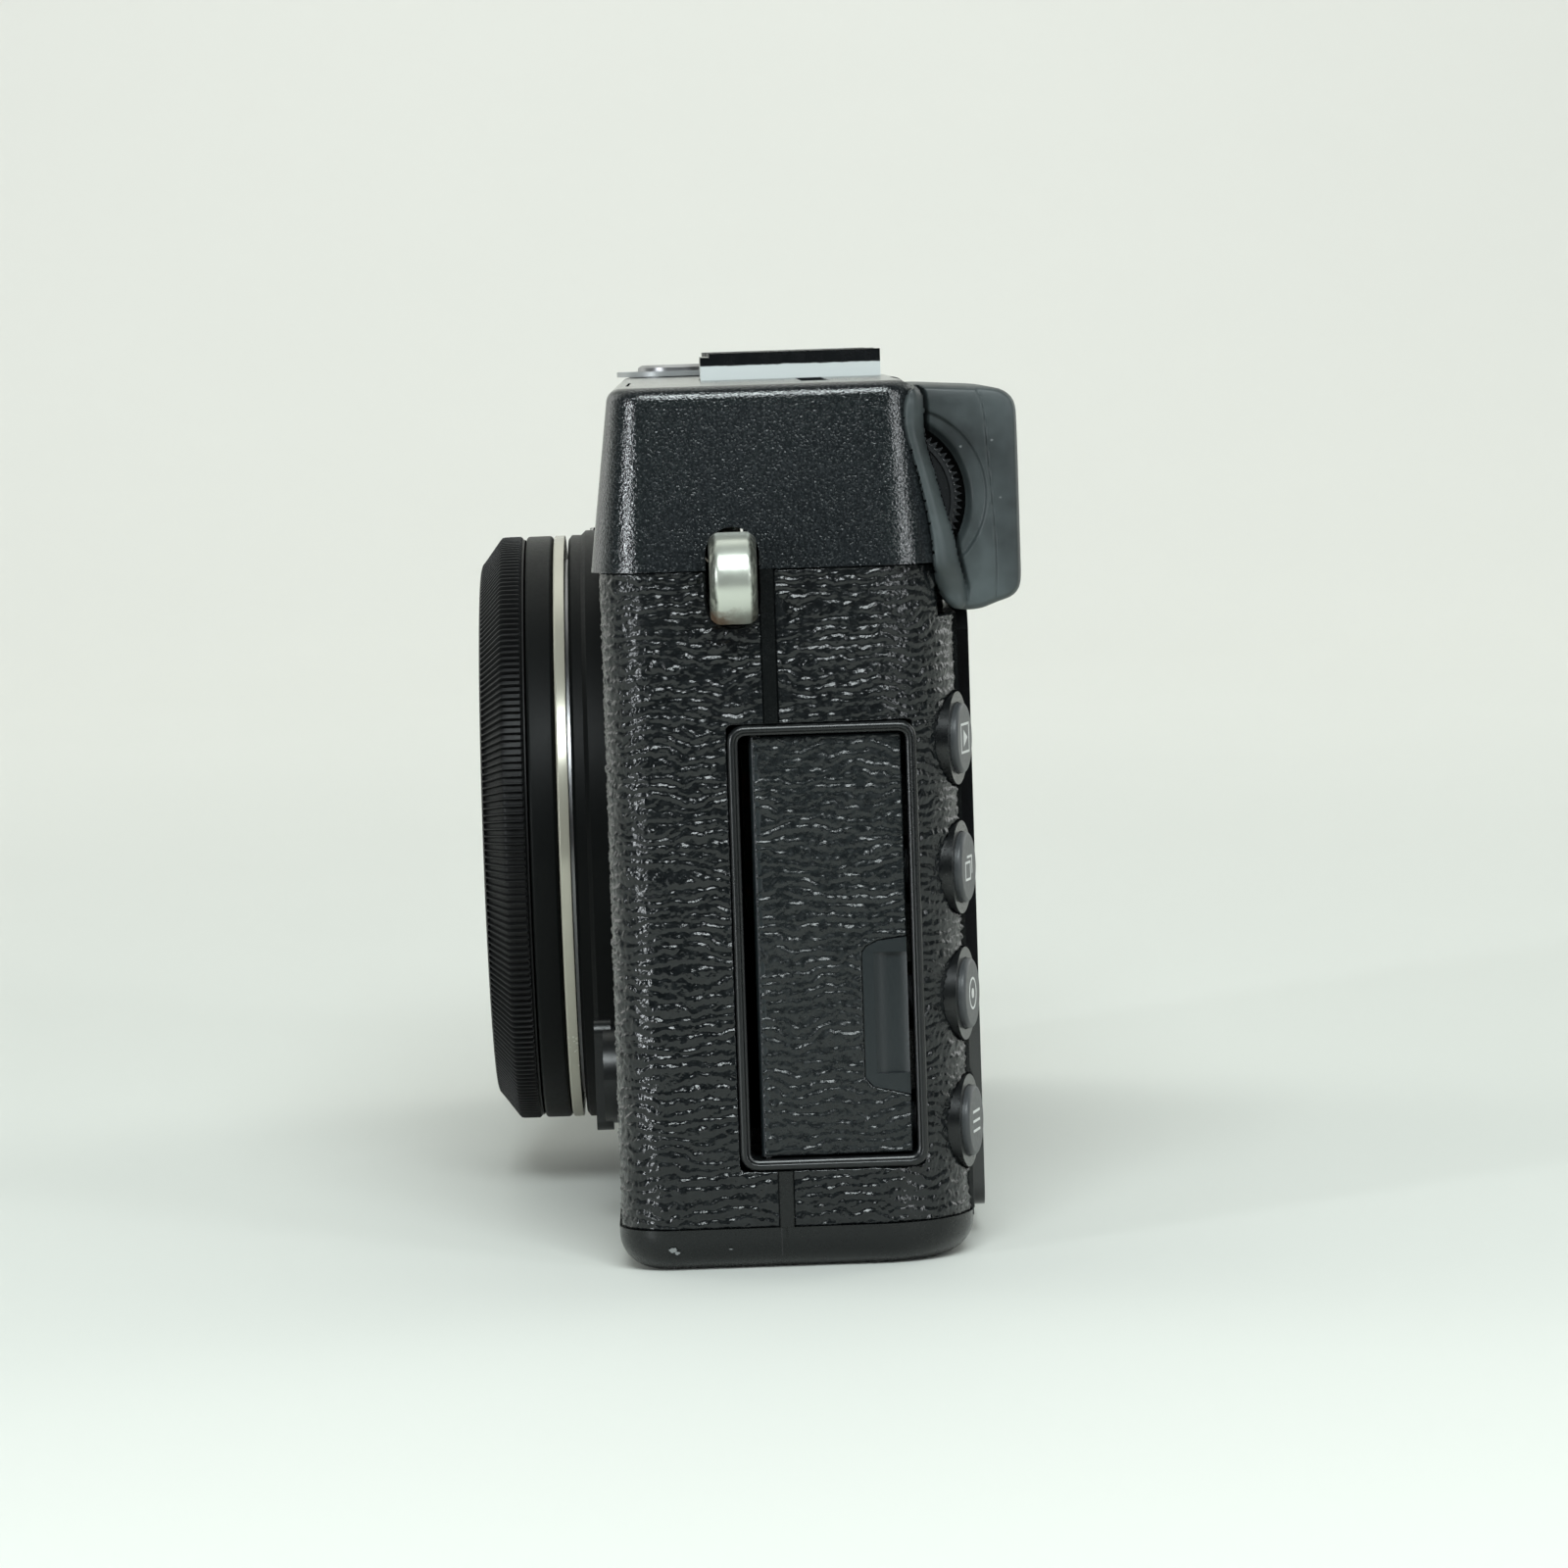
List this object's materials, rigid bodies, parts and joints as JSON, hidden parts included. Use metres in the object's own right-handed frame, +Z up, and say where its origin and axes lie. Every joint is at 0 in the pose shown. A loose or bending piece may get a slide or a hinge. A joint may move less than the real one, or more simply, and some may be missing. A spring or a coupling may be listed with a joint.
{
  "type": "mirrorless camera",
  "caption": "Flat-bodied mirrorless camera with a thin lens, corner eyepiece, rear display, top dials, pop-up flash, hot shoe, strap lugs and a hinged terminal door.",
  "frame": {"origin": "centre of the overall box at the base the camera stands on", "axes": "+X towards the viewer's left end, -Y out through the lens, +Z up; the base is the flat face"},
  "size_m": [0.1388, 0.0463, 0.0749],
  "materials": {
    "satin_black_paint": "fine pebble satin black paint",
    "leatherette": "coarse wrinkled black leatherette",
    "black_plastic": "satin black",
    "button_plastic": "satin dark grey",
    "rubber": "matte rubber",
    "chrome": "polished",
    "alloy": "turned",
    "glass": "coated glass",
    "electronics": "circuit board"
  },
  "bodies": {
    "camera_body": {"top_cover": "satin_black_paint", "front_shell": "satin_black_paint", "rear_shell": "satin_black_paint", "front_leatherette": "leatherette", "rear_leatherette_left": "leatherette", "rear_leatherette_right": "leatherette", "terminal_frame": "black_plastic", "terminal_sockets": "chrome", "strap_lugs": "chrome", "hot_shoe": "chrome", "hot_shoe_contacts": "black_plastic", "eyecup": "rubber", "eyepiece_frame": "black_plastic", "viewfinder_module": "black_plastic", "button_bezels": "black_plastic", "display_glass": "glass", "display_panel": "electronics", "focus_lamp_window": "glass", "mount_surround": "black_plastic", "lens_mount_ring": "chrome", "mount_screws": "chrome", "contact_block": "black_plastic", "lens_mount_plate": "chrome", "lens_barrel": "black_plastic", "lens_front_ring": "black_plastic", "chassis_plate": "alloy", "shutter_frame": "black_plastic", "image_sensor": "electronics", "main_board": "electronics", "battery": "black_plastic", "hinge_pins": "chrome", "tripod_socket": "chrome"},
    "terminal_door": {"terminal_door": "black_plastic", "terminal_door_leatherette": "leatherette"},
    "battery_door": {"battery_door": "black_plastic"},
    "shutter_speed_dial": {"shutter_speed_dial": "satin_black_paint"},
    "exposure_dial": {"exposure_dial": "satin_black_paint"},
    "power_lever": {"power_lever": "satin_black_paint"},
    "shutter_button": {"shutter_button": "alloy"},
    "fn_button": {"fn_button": "button_plastic"},
    "flash": {"flash_unit": "satin_black_paint"},
    "flash_release_button": {"flash_release_button": "button_plastic"},
    "playback_button": {"playback_button": "button_plastic"},
    "drive_button": {"drive_button": "button_plastic"},
    "metering_button": {"metering_button": "button_plastic"},
    "function_button": {"function_button": "button_plastic"},
    "pad_up": {"pad_up": "button_plastic"},
    "pad_down": {"pad_down": "button_plastic"},
    "pad_left": {"pad_left": "button_plastic"},
    "pad_right": {"pad_right": "button_plastic"},
    "ok_button": {"ok_button": "button_plastic"},
    "disp_button": {"disp_button": "button_plastic"},
    "q_button": {"q_button": "button_plastic"},
    "command_dial": {"command_dial": "button_plastic"},
    "diopter_dial": {"diopter_dial": "black_plastic"},
    "focus_mode_switch": {"focus_mode_switch": "black_plastic"},
    "lens_release_button": {"lens_release_button": "alloy"},
    "focus_ring": {"focus_ring": "black_plastic"},
    "focus_cell": {"focus_cell": "black_plastic", "lens_elements": "glass"}
  },
  "joints": [
    {"name": "terminal_door_hinge", "type": "hinge", "parent": "camera_body", "child": "terminal_door", "pos_m": [0.063, 0.00075, 0.0265], "axis": [0, 0, -1], "range_deg": [0, 110]},
    {"name": "battery_door_hinge", "type": "hinge", "parent": "camera_body", "child": "battery_door", "pos_m": [-0.04, -0.0069, 0.00145], "axis": [-1, 0, 0], "range_deg": [0, 90]},
    {"name": "shutter_speed_turn", "type": "hinge", "parent": "camera_body", "child": "shutter_speed_dial", "pos_m": [-0.0325, 0.0057, 0.0725], "axis": [0, 0, 1], "continuous": true},
    {"name": "exposure_turn", "type": "hinge", "parent": "camera_body", "child": "exposure_dial", "pos_m": [-0.0543, 0.0066, 0.0725], "axis": [0, 0, 1], "range_deg": [-120, 120]},
    {"name": "power_turn", "type": "hinge", "parent": "camera_body", "child": "power_lever", "pos_m": [-0.0485, -0.005, 0.0725], "axis": [0, 0, 1], "range_deg": [0, 35]},
    {"name": "shutter_button_press", "type": "slide", "parent": "camera_body", "child": "shutter_button", "axis": [0, 0, -1], "range_m": [0, 0.0009], "stiffness_N_per_m": 400, "springref_m": -0.0008},
    {"name": "fn_button_press", "type": "slide", "parent": "camera_body", "child": "fn_button", "axis": [0, 0, -1], "range_m": [0, 0.0004], "stiffness_N_per_m": 400, "springref_m": -0.0008},
    {"name": "flash_pop_up", "type": "hinge", "parent": "camera_body", "child": "flash", "pos_m": [0.029, 0.0066, 0.07115], "axis": [-1, 0, 0], "range_deg": [0, 62]},
    {"name": "flash_release_button_press", "type": "slide", "parent": "camera_body", "child": "flash_release_button", "axis": [0, -1, 0], "range_m": [0, 0.0004], "stiffness_N_per_m": 400, "springref_m": -0.0008},
    {"name": "playback_button_press", "type": "slide", "parent": "camera_body", "child": "playback_button", "axis": [-0.2588, -0.9659, 0], "range_m": [0, 0.0004], "stiffness_N_per_m": 400, "springref_m": -0.0008},
    {"name": "drive_button_press", "type": "slide", "parent": "camera_body", "child": "drive_button", "axis": [-0.2588, -0.9659, 0], "range_m": [0, 0.0004], "stiffness_N_per_m": 400, "springref_m": -0.0008},
    {"name": "metering_button_press", "type": "slide", "parent": "camera_body", "child": "metering_button", "axis": [-0.2588, -0.9659, 0], "range_m": [0, 0.0004], "stiffness_N_per_m": 400, "springref_m": -0.0008},
    {"name": "function_button_press", "type": "slide", "parent": "camera_body", "child": "function_button", "axis": [-0.2588, -0.9659, 0], "range_m": [0, 0.0004], "stiffness_N_per_m": 400, "springref_m": -0.0008},
    {"name": "pad_up_press", "type": "slide", "parent": "camera_body", "child": "pad_up", "axis": [0, -1, 0], "range_m": [0, 0.0004], "stiffness_N_per_m": 400, "springref_m": -0.0008},
    {"name": "pad_down_press", "type": "slide", "parent": "camera_body", "child": "pad_down", "axis": [0, -1, 0], "range_m": [0, 0.0004], "stiffness_N_per_m": 400, "springref_m": -0.0008},
    {"name": "pad_left_press", "type": "slide", "parent": "camera_body", "child": "pad_left", "axis": [0, -1, 0], "range_m": [0, 0.0004], "stiffness_N_per_m": 400, "springref_m": -0.0008},
    {"name": "pad_right_press", "type": "slide", "parent": "camera_body", "child": "pad_right", "axis": [0, -1, 0], "range_m": [0, 0.0004], "stiffness_N_per_m": 400, "springref_m": -0.0008},
    {"name": "ok_button_press", "type": "slide", "parent": "camera_body", "child": "ok_button", "axis": [0, -1, 0], "range_m": [0, 0.0004], "stiffness_N_per_m": 400, "springref_m": -0.0008},
    {"name": "disp_button_press", "type": "slide", "parent": "camera_body", "child": "disp_button", "axis": [0, -1, 0], "range_m": [0, 0.0004], "stiffness_N_per_m": 400, "springref_m": -0.0008},
    {"name": "q_button_press", "type": "slide", "parent": "camera_body", "child": "q_button", "axis": [0, -1, 0], "range_m": [0, 0.0004], "stiffness_N_per_m": 400, "springref_m": -0.0008},
    {"name": "command_turn", "type": "hinge", "parent": "camera_body", "child": "command_dial", "pos_m": [-0.05, 0.01315, 0.0535], "axis": [0, 0, 1], "continuous": true},
    {"name": "diopter_turn", "type": "hinge", "parent": "camera_body", "child": "diopter_dial", "pos_m": [0.0597, 0.012, 0.0627], "axis": [1, 0, 0], "range_deg": [-75, 75]},
    {"name": "focus_mode_turn", "type": "hinge", "parent": "camera_body", "child": "focus_mode_switch", "pos_m": [0.038, -0.0117, 0.0134], "axis": [0, -1, 0], "range_deg": [-30, 30]},
    {"name": "lens_release_button_press", "type": "slide", "parent": "camera_body", "child": "lens_release_button", "axis": [0, 1, 0], "range_m": [0, 0.001], "stiffness_N_per_m": 400, "springref_m": -0.0008},
    {"name": "focus_turn", "type": "hinge", "parent": "camera_body", "child": "focus_ring", "pos_m": [0, -0.021, 0.0319], "axis": [0, -1, 0], "range_deg": [0, 120]},
    {"name": "focus_travel", "type": "slide", "parent": "camera_body", "child": "focus_cell", "axis": [0, -1, 0], "range_m": [0, 0.0012]}
  ],
  "couplings": [
    {"joint": "focus_travel", "follows": "focus_turn", "m_per_rad": 0.00057296}
  ]
}
